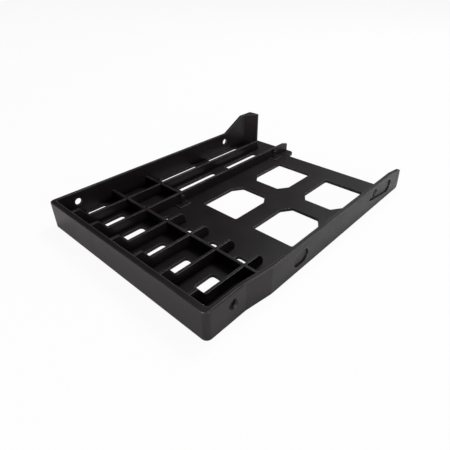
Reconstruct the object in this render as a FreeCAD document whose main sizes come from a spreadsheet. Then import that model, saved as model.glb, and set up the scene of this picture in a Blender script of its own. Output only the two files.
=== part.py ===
import FreeCAD, Part
import math
import os
import Sketcher
from types import SimpleNamespace

# Adapter tray: it holds a 2.5 inch drive and fits the bay of a 3.5 inch one. One moulded piece.
# Sizes are in millimetres. In the sketches x runs from the left wall's outer face, y from the front
# face and z from the underside. The body is then moved, so that the origin lies under its middle.

NODE = "drive_tray"

SIZES = {
    # Outline, walls and floor
    "width": 102.0,
    "front_width": 100.4,
    "total_length": 142.8,
    "wall_height": 12.9,
    "side_wall": 1.7,
    "front_wall": 2.5,
    "floor_plate": 1.5,
    "corner_radius": 2.3,
    "inner_corner_radius": 1.2,
    "joggle_start": 19.0,
    "joggle_end": 31.5,
    "floor_step_left": 35.5,
    "floor_step_back": 7.3,
    "floor_step_radius": 3.0,
    "wall_end_slope": 13.0,
    "wall_end_drop": 1.8,
    "wall_end_lean": 1.4,
    "wall_end_upright": 3.0,
    "wall_end_radius": 1.0,
    "wall_foot_radius": 1.0,
    "top_edge_radius": 0.5,
    # Ribs
    "rib_width": 1.2,
    "rib_top": 6.8,
    "rib_first": 14.1,
    "rib_pitch": 15.0,
    "rib_nose_radius": 4.0,
    "first_rib_end": 132.5,
    "first_rib_slope": 1.5,
    "second_rib_slope": 4.0,
    "second_rib_drop": 1.1,
    "cross_rib_middle": 31.2,
    "gusset_top": 11.6,
    "gusset_reach": 7.2,
    "gusset_foot": 10.5,
    "gusset_radius": 0.8,
    # The small drive: its length, and its side holes from the end with the connector
    "drive_length": 100.45,
    "drive_clearance": 0.35,
    "drive_hole_inset": 14.0,
    "drive_hole_pitch": 76.6,
    "drive_hole_height": 3.0,
    "peg_diameter": 2.4,
    "peg_length": 1.8,
    "peg_chamfer": 0.5,
    "rest_rise": 0.5,
    "rest_width": 4.7,
    "rest_before_peg": 4.6,
    "rest_after_peg": 2.4,
    # The large drive's side holes, from the same end
    "bay_hole_inset": 28.5,
    "bay_hole_pitch": 101.6,
    "bay_hole_height": 7.8,
    "bay_hole_diameter": 3.4,
    "bay_hole_chamfer": 0.6,
    "sink_length": 13.5,
    "sink_rise": 4.2,
    "sink_fall": 1.8,
    "sink_radius": 2.0,
    # Shallow recesses in the right wall's outer face
    "recess_depth": 0.65,
    "recess_length": 9.9,
    "recess_height": 6.6,
    "recess_middle": 6.0,
    "recess_after_peg": 2.75,
    "recess_radius": 3.2,
    # Windows in the floor under the drive
    "window_inset": 9.45,
    "window_width": 21.4,
    "window_length": 26.4,
    "window_bar_across": 10.3,
    "window_bar_along": 10.85,
    "window_chamfer_across": 3.6,
    "window_chamfer_along": 5.4,
    "window_radius": 1.0,
    # Slots in the floor between the ribs
    "slot_radius": 1.4,
    "left_slot_offset": 2.9,
    "left_slot_width": 6.8,
    "left_slot_start": 14.8,
    "left_slot_end": 25.5,
    "right_slot_offset": 5.25,
    "right_slot_width": 6.3,
    "right_slot_start": 13.9,
    "right_slot_end": 23.9,
    "small_slot_start": 32.6,
    "small_slot_end": 39.1,
    "long_slot_start": 60.1,
    "long_slot_length": 27.5,
    "long_slot_bar": 9.3,
    # Raised lug at the rear of the left wall, with a post behind it
    "lug_height": 20.4,
    "lug_ramp_start": 116.0,
    "lug_ramp_end": 130.3,
    "lug_end": 140.6,
    "lug_radius": 2.0,
    "post_start": 133.2,
    "post_reach": 7.2,
    "post_edge": 1.0,
}

STOP_RIBS = 4
SLOT_COLUMNS = 3
SMALL_SLOT_COLUMNS = 5
LONG_SLOT_COLUMNS = 2
HALF = 0.5

# Points of a sketch's curves, its own origin, and how near two places count as one
START = 1
END = 2
CENTRE = 3
SKETCH_ORIGIN = -1
NEAR = 0.001


class Size:
    """A length, with the sheet formula that it follows."""

    def __init__(self, value, formula):
        self.value = value
        self.formula = formula

    def __add__(self, other):
        return Size(self.value + other.value, f"({self.formula} + {other.formula})")

    def __sub__(self, other):
        return Size(self.value - other.value, f"({self.formula} - {other.formula})")

    def __mul__(self, factor):
        return Size(self.value * factor, f"({self.formula} * {factor})")


doc = FreeCAD.newDocument(NODE)
sheet = doc.addObject("Spreadsheet::Sheet", "Sizes")
for row, (name, value) in enumerate(SIZES.items(), start=1):
    sheet.set(f"A{row}", name)
    sheet.set(f"B{row}", str(value))
    sheet.setAlias(f"B{row}", name)
doc.recompute()

size = SimpleNamespace(**{name: Size(value, f"Sizes.{name}") for name, value in SIZES.items()})
ZERO = Size(0.0, "0")

body = doc.addObject("PartDesign::Body", NODE)
body.Label = NODE
body.setExpression("Placement.Base.x", (size.width * -HALF).formula)
body.setExpression("Placement.Base.y", (size.total_length * -HALF).formula)


def origin_feature(role):
    return next(part for part in body.Origin.OriginFeatures if part.Role == role)


# Sketches

def new_sketch(name, plane, offset=ZERO):
    """Sketch on an origin plane of the body, moved out along the plane's normal."""
    sketch = body.newObject("Sketcher::SketchObject", name)
    sketch.AttachmentSupport = [(origin_feature(plane), "")]
    sketch.MapMode = "FlatFace"
    sketch.setExpression("AttachmentOffset.Base.z", offset.formula)
    return sketch


def constrain(sketch, kind, *links):
    return sketch.addConstraint(Sketcher.Constraint(kind, *links))


def constrain_size(sketch, kind, *links, length):
    index = constrain(sketch, kind, *links, length.value)
    sketch.setExpression(f"Constraints[{index}]", length.formula)


def hold_point(sketch, curve, point, across, up):
    """Ties a point to its two distances from the sketch's origin."""
    constrain_size(sketch, "DistanceX", SKETCH_ORIGIN, START, curve, point, length=across)
    constrain_size(sketch, "DistanceY", SKETCH_ORIGIN, START, curve, point, length=up)


def add_circle(sketch, across, up, diameter):
    centre = FreeCAD.Vector(across.value, up.value, 0)
    circle = sketch.addGeometry(Part.Circle(centre, FreeCAD.Vector(0, 0, 1), diameter.value / 2), False)
    hold_point(sketch, circle, CENTRE, across, up)
    constrain_size(sketch, "Diameter", circle, length=diameter)


def corner_points(before, corner, after, radius):
    """Where a rounding of a corner begins, its middle, and where it ends."""
    back = (before - corner).normalize()
    ahead = (after - corner).normalize()
    half_angle = back.getAngle(ahead) / 2
    reach = radius / math.tan(half_angle)
    depth = radius / math.sin(half_angle) - radius
    return corner + back * reach, corner + (back + ahead).normalize() * depth, corner + ahead * reach


def round_corner(sketch, arc, before, after, begin, corner):
    """Ties a corner's arc to the lines beside it, which still aim at the corner itself."""
    across, up, radius = corner
    first, last = (START, END) if sketch.getPoint(arc, START).isEqual(begin, NEAR) else (END, START)
    constrain(sketch, "Tangent", before, END, arc, first)
    constrain(sketch, "Tangent", arc, last, after, START)
    constrain_size(sketch, "Radius", arc, length=radius)
    aim = sketch.addGeometry(Part.Point(FreeCAD.Vector(across.value, up.value, 0)), True)
    hold_point(sketch, aim, START, across, up)
    constrain(sketch, "PointOnObject", aim, START, before)
    constrain(sketch, "PointOnObject", aim, START, after)


def add_outline(sketch, *corners):
    """Closed outline of corners (across, up), or (across, up, radius) where one is rounded."""
    places = [FreeCAD.Vector(corner[0].value, corner[1].value, 0) for corner in corners]
    turns = []
    for index, corner in enumerate(corners):
        radius = corner[2].value if len(corner) > 2 else 0.0
        following = places[(index + 1) % len(places)]
        turns.append(corner_points(places[index - 1], places[index], following, radius))
    lines = []
    for index, turn in enumerate(turns):
        following = turns[(index + 1) % len(turns)]
        lines.append(sketch.addGeometry(Part.LineSegment(turn[2], following[0]), False))
    for index, corner in enumerate(corners):
        before = lines[index - 1]
        after = lines[index]
        if len(corner) > 2:
            arc = sketch.addGeometry(Part.Arc(*turns[index]), False)
            round_corner(sketch, arc, before, after, turns[index][0], corner)
        else:
            constrain(sketch, "Coincident", before, END, after, START)
            hold_point(sketch, after, START, *corner)


def add_box(sketch, left, right, low, high, radius=None):
    """Rectangle between four sizes, with all its corners rounded if it has a radius."""
    rounding = () if radius is None else (radius,)
    corners = ((left, low), (right, low), (right, high), (left, high))
    add_outline(sketch, *(corner + rounding for corner in corners))


# Features

def add_feature(kind, sketch, length, **settings):
    """Pad or pocket from a sketch, which has to change the volume the way it should."""
    before = body.Shape.Volume if body.Tip else 0.0
    feature = body.newObject(f"PartDesign::{kind}", f"{sketch.Name}_{kind.lower()}")
    feature.Profile = sketch
    feature.setExpression("Length", length.formula)
    for setting, value in settings.items():
        setattr(feature, setting, value)
    doc.recompute()
    grown = body.Shape.Volume > before
    if grown != (kind == "Pad"):
        raise RuntimeError(f"{feature.Name} changed nothing")
    return feature


def repeat_across(feature, count):
    """Copies a feature from one rib to the next."""
    pattern = body.newObject("PartDesign::LinearPattern", f"{feature.Name}_row")
    pattern.Originals = [feature]
    pattern.Direction = (origin_feature("X_Axis"), [""])
    pattern.Mode = "Spacing"
    pattern.setExpression("Offset", size.rib_pitch.formula)
    pattern.Occurrences = count
    body.Tip = pattern
    doc.recompute()


def soften(kind, name, measure, length, is_wanted):
    """Fillet or chamfer on the edges that a test picks."""
    base = body.Tip
    edges = [f"Edge{index}" for index, edge in enumerate(base.Shape.Edges, start=1) if is_wanted(edge)]
    if not edges:
        raise RuntimeError(f"{name} found no edge")
    feature = body.newObject(f"PartDesign::{kind}", name)
    feature.Base = (base, edges)
    feature.setExpression(measure, length.formula)
    doc.recompute()


def near(place, **wanted):
    """Whether a place lies at each of the sizes given for its axes."""
    return all(abs(getattr(place, axis) - length.value) < NEAR for axis, length in wanted.items())


# Places that several features share
right_face = size.width - size.side_wall
floor_rear = size.total_length - size.floor_step_back
second_rib = size.rib_first + size.rib_pitch
third_rib = second_rib + size.rib_pitch
drive_left = second_rib + size.rib_width * HALF
drive_front = size.total_length - size.drive_length
rear_peg = size.total_length - size.drive_hole_inset
front_peg = rear_peg - size.drive_hole_pitch
rest_top = size.floor_plate + size.rest_rise
peg_height = rest_top + size.drive_hole_height
rear_bay_hole = size.total_length - size.bay_hole_inset
front_bay_hole = rear_bay_hole - size.bay_hole_pitch


def make_shell():
    """Floor plate with a step in its rear edge, and the wall round three of its sides."""
    floor = new_sketch("floor", "XY_Plane")
    add_outline(
        floor,
        (ZERO, ZERO, size.corner_radius),
        (size.front_width, ZERO, size.corner_radius),
        (size.front_width, size.joggle_start),
        (size.width, size.joggle_end),
        (size.width, floor_rear),
        (size.floor_step_left, floor_rear, size.floor_step_radius),
        (size.floor_step_left, size.total_length, size.floor_step_radius),
        (ZERO, size.total_length),
    )
    add_feature("Pad", floor, size.floor_plate)

    wall = new_sketch("wall", "XY_Plane")
    front_face = size.front_width - size.side_wall
    add_outline(
        wall,
        (ZERO, ZERO, size.corner_radius),
        (size.front_width, ZERO, size.corner_radius),
        (size.front_width, size.joggle_start),
        (size.width, size.joggle_end),
        (size.width, size.total_length),
        (right_face, size.total_length),
        (right_face, size.joggle_end),
        (front_face, size.joggle_start),
        (front_face, size.front_wall, size.inner_corner_radius),
        (size.side_wall, size.front_wall, size.inner_corner_radius),
        (size.side_wall, size.lug_end),
        (ZERO, size.lug_end),
    )
    add_feature("Pad", wall, size.wall_height)


def make_lug():
    """Ramp that rises on the left wall, and the three-cornered post that stiffens its end."""
    ramp = new_sketch("lug_ramp", "YZ_Plane")
    add_outline(
        ramp,
        (size.lug_ramp_start - size.lug_radius, size.wall_height),
        (size.lug_ramp_start - size.lug_radius, size.rib_top),
        (size.lug_end, size.rib_top),
        (size.lug_end, size.lug_height),
        (size.lug_ramp_end, size.lug_height, size.lug_radius),
        (size.lug_ramp_start, size.wall_height),
    )
    add_feature("Pad", ramp, size.side_wall)

    post = new_sketch("lug_post", "XY_Plane")
    add_outline(
        post,
        (ZERO, size.post_start),
        (size.side_wall, size.post_start),
        (size.post_reach, size.lug_end - size.post_edge),
        (size.post_reach, size.lug_end),
        (ZERO, size.lug_end),
    )
    add_feature("Pad", post, size.lug_height)


def rib_sketch(name, middle, *rear_corners):
    """Side view of a rib: a gusset at the front wall, a level top, and its own rear end."""
    sketch = new_sketch(name, "YZ_Plane", middle)
    root = size.front_wall * HALF
    add_outline(
        sketch,
        (root, ZERO),
        *rear_corners,
        (size.gusset_foot, size.rib_top, size.gusset_radius),
        (size.gusset_reach, size.gusset_top, size.gusset_radius),
        (root, size.gusset_top),
    )
    return sketch


def make_ribs():
    """Two long ribs, four short ones that stop the drive, and the ribs across them."""
    first = rib_sketch(
        "first_rib",
        size.rib_first,
        (size.first_rib_end, ZERO),
        (size.first_rib_end, size.floor_plate),
        (size.first_rib_end - size.first_rib_slope, size.rib_top),
    )
    add_feature("Pad", first, size.rib_width, SideType="Symmetric")

    second = rib_sketch(
        "second_rib",
        second_rib,
        (size.total_length, ZERO),
        (size.total_length, size.rib_top - size.second_rib_drop),
        (size.total_length - size.second_rib_slope, size.rib_top),
    )
    add_feature("Pad", second, size.rib_width, SideType="Symmetric")

    rib_stop = drive_front - size.drive_clearance
    stop = rib_sketch(
        "stop_rib",
        third_rib,
        (rib_stop, ZERO),
        (rib_stop, size.rib_top, size.rib_nose_radius),
    )
    repeat_across(add_feature("Pad", stop, size.rib_width, SideType="Symmetric"), STOP_RIBS)

    across = new_sketch("cross_ribs", "XY_Plane")
    half_rib = size.rib_width * HALF
    left = size.side_wall * HALF
    right = size.width - size.side_wall * HALF
    for middle, end in ((size.cross_rib_middle, right), (front_peg, second_rib)):
        add_box(across, left, end, middle - half_rib, middle + half_rib)
    add_feature("Pad", across, size.rib_top)


def make_drive_seats():
    """Low rests beside the drive's side holes, and the pegs that go into those holes."""
    rests = new_sketch("drive_rests", "XY_Plane")
    left_rest = (second_rib, drive_left + size.rest_width)
    right_rest = (right_face - size.rest_width, size.width - size.recess_depth)
    for left, right in (left_rest, right_rest):
        for peg in (front_peg, rear_peg):
            add_box(rests, left, right, peg - size.rest_before_peg, peg + size.rest_after_peg)
    add_feature("Pad", rests, rest_top)

    left_tip = drive_left + size.peg_length
    right_tip = right_face - size.peg_length
    for name, root, reversed_pad in (("left_pegs", drive_left, False), ("right_pegs", right_face, True)):
        pegs = new_sketch(name, "YZ_Plane", root)
        for peg in (front_peg, rear_peg):
            add_circle(pegs, peg, peg_height, size.peg_diameter)
        add_feature("Pad", pegs, size.peg_length, Reversed=reversed_pad)

    def is_peg_tip(edge):
        middle = edge.BoundBox.Center
        return near(middle, z=peg_height) and (near(middle, x=left_tip) or near(middle, x=right_tip))

    soften("Chamfer", "peg_tips", "Size", size.peg_chamfer, is_peg_tip)


def make_windows():
    """Four windows round a cross of bars. Their corners on the bar between front and rear are cut off."""
    sketch = new_sketch("windows", "XY_Plane")
    middle_x = drive_left + size.window_inset + size.window_width + size.window_bar_across * HALF
    middle_y = (front_peg + rear_peg) * HALF
    for side in (-1, 1):
        inner = middle_x + size.window_bar_across * (side * HALF)
        outer = inner + size.window_width * side
        for end in (-1, 1):
            near_bar = middle_y + size.window_bar_along * (end * HALF)
            far = near_bar + size.window_length * end
            cut_y = near_bar + size.window_chamfer_along * end
            chamfer = size.window_chamfer_across * side
            corners = (
                (inner + chamfer, near_bar),
                (outer - chamfer, near_bar),
                (outer, cut_y),
                (outer, far),
                (inner, far),
                (inner, cut_y),
            )
            add_outline(sketch, *(corner + (size.window_radius,) for corner in corners))
    add_feature("Pocket", sketch, size.floor_plate, Reversed=True)


def cut_slots(name, left, width, spans, columns):
    """Slots through the floor over the given spans along y, repeated from rib to rib."""
    sketch = new_sketch(name, "XY_Plane")
    for start, end in spans:
        add_box(sketch, left, left + width, start, end, size.slot_radius)
    repeat_across(add_feature("Pocket", sketch, size.floor_plate, Reversed=True), columns)


def make_slots():
    """Slots between the ribs, nearer to the left rib on the left and further from it on the right."""
    beside_wall = size.rib_first - size.rib_pitch + size.left_slot_offset
    first_small = size.rib_first + size.right_slot_offset
    right = third_rib + size.right_slot_offset
    front = (size.left_slot_start, size.left_slot_end)
    small = (size.small_slot_start, size.small_slot_end)
    right_front = (size.right_slot_start, size.right_slot_end)
    long_end = size.long_slot_start + size.long_slot_length
    rear_start = long_end + size.long_slot_bar
    long_spans = ((size.long_slot_start, long_end), (rear_start, rear_start + size.long_slot_length))
    cut_slots("left_slots", beside_wall, size.left_slot_width, (front,), SLOT_COLUMNS)
    cut_slots("small_slots", first_small, size.right_slot_width, (small,), SMALL_SLOT_COLUMNS)
    cut_slots("right_slots", right, size.right_slot_width, (right_front,), SLOT_COLUMNS)
    cut_slots("long_slots", beside_wall, size.left_slot_width, long_spans, LONG_SLOT_COLUMNS)


def make_side_holes():
    """Countersunk screw holes in both walls, and shallow recesses outside the right wall's pegs."""
    walls = (
        ("left_holes", ZERO, (front_bay_hole, rear_bay_hole), True),
        ("right_front_hole", size.front_width, (front_bay_hole,), False),
        ("right_rear_hole", size.width, (rear_bay_hole,), False),
    )
    for name, outer_face, places, inwards_is_right in walls:
        holes = new_sketch(name, "YZ_Plane", outer_face)
        for place in places:
            add_circle(holes, place, size.bay_hole_height, size.bay_hole_diameter)
        add_feature("Pocket", holes, size.side_wall, Reversed=inwards_is_right)

    recesses = new_sketch("recesses", "YZ_Plane", size.width)
    low = size.recess_middle - size.recess_height * HALF
    high = low + size.recess_height
    end = front_peg + size.recess_after_peg
    add_box(recesses, end - size.recess_length, end, low, high, size.recess_radius)

    # The rear recess runs on to the front, where it rises round the screw hole
    end = rear_peg + size.recess_after_peg
    sink_front = rear_bay_hole - size.sink_length * HALF
    sink_low = size.bay_hole_height - size.sink_fall
    sink_top = size.bay_hole_height + size.sink_rise
    add_outline(
        recesses,
        (sink_front, sink_low, size.sink_radius),
        (end, low, size.recess_radius),
        (end, high, size.recess_radius),
        (sink_front + size.sink_length, sink_top),
        (sink_front, sink_top, size.sink_radius),
    )
    add_feature("Pocket", recesses, size.recess_depth)

    rims = (
        (ZERO, front_bay_hole),
        (ZERO, rear_bay_hole),
        (size.front_width, front_bay_hole),
        (size.width - size.recess_depth, rear_bay_hole),
    )

    def is_hole_rim(edge):
        middle = edge.BoundBox.Center
        return any(near(middle, x=face, y=place, z=size.bay_hole_height) for face, place in rims)

    soften("Chamfer", "hole_rims", "Size", size.bay_hole_chamfer, is_hole_rim)


def trim_wall_end():
    """Rear end of the right wall: its top slopes down, its end leans back, and its foot is rounded."""
    end = new_sketch("wall_end", "YZ_Plane", size.width)
    lean = size.total_length - size.wall_end_lean
    add_outline(
        end,
        (size.total_length - size.wall_end_slope, size.wall_height),
        (lean, size.wall_height - size.wall_end_drop, size.wall_end_radius),
        (size.total_length, size.wall_end_upright),
        (size.total_length, size.wall_height),
    )
    add_feature("Pocket", end, size.side_wall)
    middle_of_wall = size.width - size.side_wall * HALF

    def is_wall_foot(edge):
        return near(edge.BoundBox.Center, x=middle_of_wall, y=size.total_length, z=ZERO)

    soften("Fillet", "wall_foot", "Radius", size.wall_foot_radius, is_wall_foot)


def soften_top():
    """Eased top edge of the front and right walls."""

    def is_front_top(edge):
        return near(edge.BoundBox.Center, y=ZERO, z=size.wall_height)

    soften("Fillet", "top_edge", "Radius", size.top_edge_radius, is_front_top)


def check():
    """Stops if an object of the document failed, or if the tray isn't one sound solid."""
    for item in doc.Objects:
        if "Invalid" in item.State or "Error" in item.State:
            raise RuntimeError(f"{item.Name} failed")
    if body.Shape.isNull() or not body.Shape.isValid() or len(body.Shape.Solids) != 1:
        raise RuntimeError("the tray isn't one valid solid")


make_shell()
make_lug()
make_ribs()
make_drive_seats()
make_windows()
make_slots()
make_side_holes()
trim_wall_end()
soften_top()
doc.recompute()
check()

os.makedirs("parts", exist_ok=True)
body.Shape.exportStep(f"parts/{body.Label}.step")
print(f"{body.Label}: {body.Shape.BoundBox}, volume {body.Shape.Volume:.0f} mm3")
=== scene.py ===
import math

import bpy
from mathutils import Matrix, Vector


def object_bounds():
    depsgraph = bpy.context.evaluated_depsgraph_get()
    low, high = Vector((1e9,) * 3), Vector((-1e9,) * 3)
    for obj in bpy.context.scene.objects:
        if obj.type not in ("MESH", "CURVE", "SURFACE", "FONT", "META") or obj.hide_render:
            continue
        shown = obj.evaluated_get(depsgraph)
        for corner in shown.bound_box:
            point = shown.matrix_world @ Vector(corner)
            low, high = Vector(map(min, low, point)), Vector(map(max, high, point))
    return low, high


# Black moulded drive tray on a white studio floor, seen as in the photograph.

MM = 0.001
WHITE = (1.0, 1.0, 1.0, 1.0)

# Camera, from the perspective of the tray's own edges
CAMERA_PLACE = Vector((108.56, -125.50, 98.78)) * MM
CAMERA_AZIMUTH = math.radians(43.23)
CAMERA_ELEVATION = math.radians(33.81)
CAMERA_ROLL = math.radians(-0.46)
CAMERA_LENS = 30.53
CAMERA_SENSOR = 36.0

# Plastic
PLASTIC = (0.0080, 0.0056, 0.0062, 1.0)
# Paler colour on the outward edges: partly rubbed wear, partly a painted highlight along the rib tops
# and edges
PALE_WEAR_AND_HIGHLIGHT = (0.065, 0.061, 0.059, 1.0)
PLASTIC_IOR = 1.5
SPECULAR_LEVEL = 0.24
ROUGHNESS = (0.32, 0.40)
EDGE_RADIUS = 0.5 * MM
EDGE_SAMPLES = 6
EDGE_OPENNESS = (0.95, 0.70)
# How much of the paler edge colour (wear and painted highlight) the outward edges take, varied by the
# mottle
EDGE_WEAR_AND_HIGHLIGHT = (0.3, 1.0)
GRAIN_SIZE = 0.35 * MM
GRAIN_DETAIL = 2.0
GRAIN_HEIGHT = 0.05 * MM
GRAIN_STRENGTH = 0.25
MOTTLE_SIZE = 14.0 * MM
MOTTLE_DETAIL = 4.0
MOTTLE_SPAN = (0.3, 0.7)

# Floor and backdrop: their paint, and how much of a plain white they show to the camera and in mirrors
FLOOR_SIZE = 6.0
BACKDROP_RADIUS = 2.5
BACKDROP_HEIGHT = 0.85
BACKDROP_SIDES = 96
FLOOR_WHITE = (0.86, 0.86, 0.86, 1.0)
BACKDROP_GREY = (0.25, 0.25, 0.25, 1.0)
CAMERA_GLOW = 0.93
MIRROR_GLOW = 0.15

# Surroundings above the backdrop. The spans are of a direction's x, y and z, and the rest are strengths
DARK_LIGHT = 0.06
REAR_LIGHT = 0.50
TOP_LIGHT = 0.30
LEFT_SPAN = (-0.50, -0.30)
REAR_SPAN = (0.0, 0.3)
TOP_SPAN = (0.60, 0.80)

# Lamps, all aimed at the tray: place, width, height and watts
LAMPS = {
    "soft_box": ((-0.05, 0.56, 0.84), 0.35, 0.35, 6.0),
    "front": ((0.10, -0.75, 0.06), 0.5, 0.1, 7.5),
    "right": ((0.80, -0.10, 0.25), 0.4, 0.2, 3.0),
}

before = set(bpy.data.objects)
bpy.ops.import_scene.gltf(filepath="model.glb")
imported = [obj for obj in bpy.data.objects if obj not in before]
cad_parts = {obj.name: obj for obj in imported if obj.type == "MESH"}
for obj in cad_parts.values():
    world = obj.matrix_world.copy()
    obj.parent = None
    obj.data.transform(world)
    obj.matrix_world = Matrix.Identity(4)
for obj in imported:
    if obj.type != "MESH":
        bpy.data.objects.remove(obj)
cad_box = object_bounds()


def new_material(name):
    """Material with an empty node tree."""
    material = bpy.data.materials.new(name)
    material.use_nodes = True
    nodes = material.node_tree.nodes
    nodes.clear()
    return material, nodes, material.node_tree.links


def math_node(nodes, links, operation, first, second):
    """Math node on two values, of which the second may be a plain number."""
    node = nodes.new("ShaderNodeMath")
    node.operation = operation
    links.new(first, node.inputs[0])
    if isinstance(second, float):
        node.inputs[1].default_value = second
    else:
        links.new(second, node.inputs[1])
    return node.outputs["Value"]


def map_range(nodes, links, value, span, target):
    """Value, taken from one span to another and kept within it."""
    node = nodes.new("ShaderNodeMapRange")
    node.inputs["From Min"].default_value, node.inputs["From Max"].default_value = span
    node.inputs["To Min"].default_value, node.inputs["To Max"].default_value = target
    links.new(value, node.inputs["Value"])
    return node.outputs["Result"]


def noise(nodes, links, place, size, detail):
    texture = nodes.new("ShaderNodeTexNoise")
    texture.inputs["Scale"].default_value = 1.0 / size
    texture.inputs["Detail"].default_value = detail
    links.new(place, texture.inputs["Vector"])
    return texture.outputs["Fac"]


def plastic_material():
    """Satin black plastic: fine grain, uneven sheen, and eased edges painted a little paler, partly as
    rubbed wear and partly as a painted highlight.
    """
    material, nodes, links = new_material("black_plastic")
    output = nodes.new("ShaderNodeOutputMaterial")
    shader = nodes.new("ShaderNodeBsdfPrincipled")
    shader.inputs["IOR"].default_value = PLASTIC_IOR
    shader.inputs["Specular IOR Level"].default_value = SPECULAR_LEVEL
    links.new(shader.outputs["BSDF"], output.inputs["Surface"])
    place = nodes.new("ShaderNodeTexCoord").outputs["Object"]

    # Only outward edges are eased: near them a short look into the solid soon meets another face
    within = nodes.new("ShaderNodeAmbientOcclusion")
    within.inside = True
    within.only_local = True
    within.samples = EDGE_SAMPLES
    within.inputs["Distance"].default_value = EDGE_RADIUS
    edge = map_range(nodes, links, within.outputs["AO"], EDGE_OPENNESS, (0.0, 1.0))
    bevel = nodes.new("ShaderNodeBevel")
    bevel.samples = EDGE_SAMPLES
    bevel.inputs["Radius"].default_value = EDGE_RADIUS
    eased = nodes.new("ShaderNodeMix")
    eased.data_type = "VECTOR"
    links.new(edge, eased.inputs["Factor"])
    links.new(nodes.new("ShaderNodeNewGeometry").outputs["Normal"], eased.inputs["A"])
    links.new(bevel.outputs["Normal"], eased.inputs["B"])
    unit = nodes.new("ShaderNodeVectorMath")
    unit.operation = "NORMALIZE"
    links.new(eased.outputs["Result"], unit.inputs["Vector"])

    grain = noise(nodes, links, place, GRAIN_SIZE, GRAIN_DETAIL)
    mottle = noise(nodes, links, place, MOTTLE_SIZE, MOTTLE_DETAIL)

    uneven = map_range(nodes, links, mottle, MOTTLE_SPAN, EDGE_WEAR_AND_HIGHLIGHT)
    # Outward edges are painted paler: partly rubbed wear, partly a painted highlight that stands in for
    # light caught by the rounded edges
    colour = nodes.new("ShaderNodeMix")
    colour.data_type = "RGBA"
    colour.inputs["A"].default_value = PLASTIC
    colour.inputs["B"].default_value = PALE_WEAR_AND_HIGHLIGHT
    links.new(math_node(nodes, links, "MULTIPLY", edge, uneven), colour.inputs["Factor"])
    links.new(colour.outputs["Result"], shader.inputs["Base Color"])
    sheen = map_range(nodes, links, mottle, MOTTLE_SPAN, ROUGHNESS)
    links.new(sheen, shader.inputs["Roughness"])

    bump = nodes.new("ShaderNodeBump")
    bump.inputs["Strength"].default_value = GRAIN_STRENGTH
    bump.inputs["Distance"].default_value = GRAIN_HEIGHT
    links.new(grain, bump.inputs["Height"])
    links.new(unit.outputs["Vector"], bump.inputs["Normal"])
    links.new(bump.outputs["Normal"], shader.inputs["Normal"])
    return material


def background_share(nodes, links):
    """How far a ray sees a plain white: most from the camera, less when mirrored or passed through."""
    path = nodes.new("ShaderNodeLightPath").outputs
    direct = math_node(nodes, links, "MULTIPLY", path["Is Camera Ray"], CAMERA_GLOW)
    other = math_node(nodes, links, "MAXIMUM", path["Is Glossy Ray"], path["Is Transmission Ray"])
    indirect = math_node(nodes, links, "MULTIPLY", other, MIRROR_GLOW)
    return math_node(nodes, links, "MAXIMUM", direct, indirect)


def stage_material(name, paint_colour):
    """Matt paint, which takes light and shadow, under the plain white of the background."""
    material, nodes, links = new_material(name)
    output = nodes.new("ShaderNodeOutputMaterial")
    paint = nodes.new("ShaderNodeBsdfDiffuse")
    paint.inputs["Color"].default_value = paint_colour
    glow = nodes.new("ShaderNodeEmission")
    glow.inputs["Color"].default_value = WHITE
    mix = nodes.new("ShaderNodeMixShader")
    links.new(background_share(nodes, links), mix.inputs["Fac"])
    links.new(paint.outputs["BSDF"], mix.inputs[1])
    links.new(glow.outputs["Emission"], mix.inputs[2])
    links.new(mix.outputs["Shader"], output.inputs["Surface"])
    return material


def make_stage():
    """Floor, and a low round backdrop far out on it, so that every view has a white background."""
    ground = cad_box[0].z
    bpy.ops.mesh.primitive_plane_add(size=FLOOR_SIZE, location=(0, 0, ground))
    floor = bpy.context.object
    floor.name = "studio_floor"
    bpy.ops.mesh.primitive_cylinder_add(
        vertices=BACKDROP_SIDES, radius=BACKDROP_RADIUS, depth=BACKDROP_HEIGHT,
        end_fill_type="NOTHING", location=(0, 0, ground + BACKDROP_HEIGHT / 2))
    backdrop = bpy.context.object
    backdrop.name = "studio_backdrop"
    for piece, paint in ((floor, FLOOR_WHITE), (backdrop, BACKDROP_GREY)):
        piece.data.materials.append(stage_material(piece.name, paint))


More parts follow.
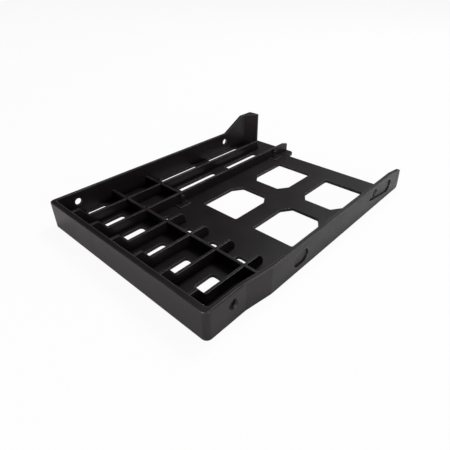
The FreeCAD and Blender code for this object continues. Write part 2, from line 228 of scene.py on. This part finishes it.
def make_world():
    """Surroundings like a light tent: bright at the rear and overhead, but dark at the left."""
    world = bpy.data.worlds.new("studio")
    bpy.context.scene.world = world
    world.use_nodes = True
    nodes = world.node_tree.nodes
    links = world.node_tree.links
    sky = nodes["Background"]
    sky.inputs["Color"].default_value = WHITE
    split = nodes.new("ShaderNodeSeparateXYZ")
    links.new(nodes.new("ShaderNodeTexCoord").outputs["Generated"], split.inputs["Vector"])
    direction = split.outputs
    not_left = map_range(nodes, links, direction["X"], LEFT_SPAN, (DARK_LIGHT, 1.0))
    behind = map_range(nodes, links, direction["Y"], REAR_SPAN, (DARK_LIGHT, REAR_LIGHT))
    overhead = map_range(nodes, links, direction["Z"], TOP_SPAN, (0.0, TOP_LIGHT))
    level = math_node(nodes, links, "MULTIPLY", behind, not_left)
    level = math_node(nodes, links, "MAXIMUM", level, overhead)
    links.new(level, sky.inputs["Strength"])


def make_lamps():
    middle = (cad_box[0] + cad_box[1]) / 2
    for name, (place, width, height, watts) in LAMPS.items():
        lamp = bpy.data.lights.new(name, "AREA")
        lamp.shape = "RECTANGLE"
        lamp.size = width
        lamp.size_y = height
        lamp.energy = watts
        holder = bpy.data.objects.new(name, lamp)
        holder.location = place
        holder.rotation_euler = (middle - Vector(place)).to_track_quat("-Z", "Y").to_euler()
        bpy.context.scene.collection.objects.link(holder)


def make_camera():
    camera = bpy.data.cameras.new("photo_camera")
    camera.lens = CAMERA_LENS
    camera.sensor_width = CAMERA_SENSOR
    camera.clip_start = MM
    holder = bpy.data.objects.new("photo_camera", camera)
    tilt = Matrix.Rotation(math.pi / 2 - CAMERA_ELEVATION, 4, "X")
    turn = Matrix.Rotation(CAMERA_AZIMUTH, 4, "Z")
    roll = Matrix.Rotation(CAMERA_ROLL, 4, "Z")
    holder.matrix_world = Matrix.Translation(CAMERA_PLACE) @ turn @ tilt @ roll
    bpy.context.scene.collection.objects.link(holder)
    bpy.context.scene.camera = holder


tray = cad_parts["drive_tray"]
tray.data.materials.clear()
tray.data.materials.append(plastic_material())

make_stage()
make_world()
make_lamps()
make_camera()
bpy.context.scene.view_settings.view_transform = "Standard"
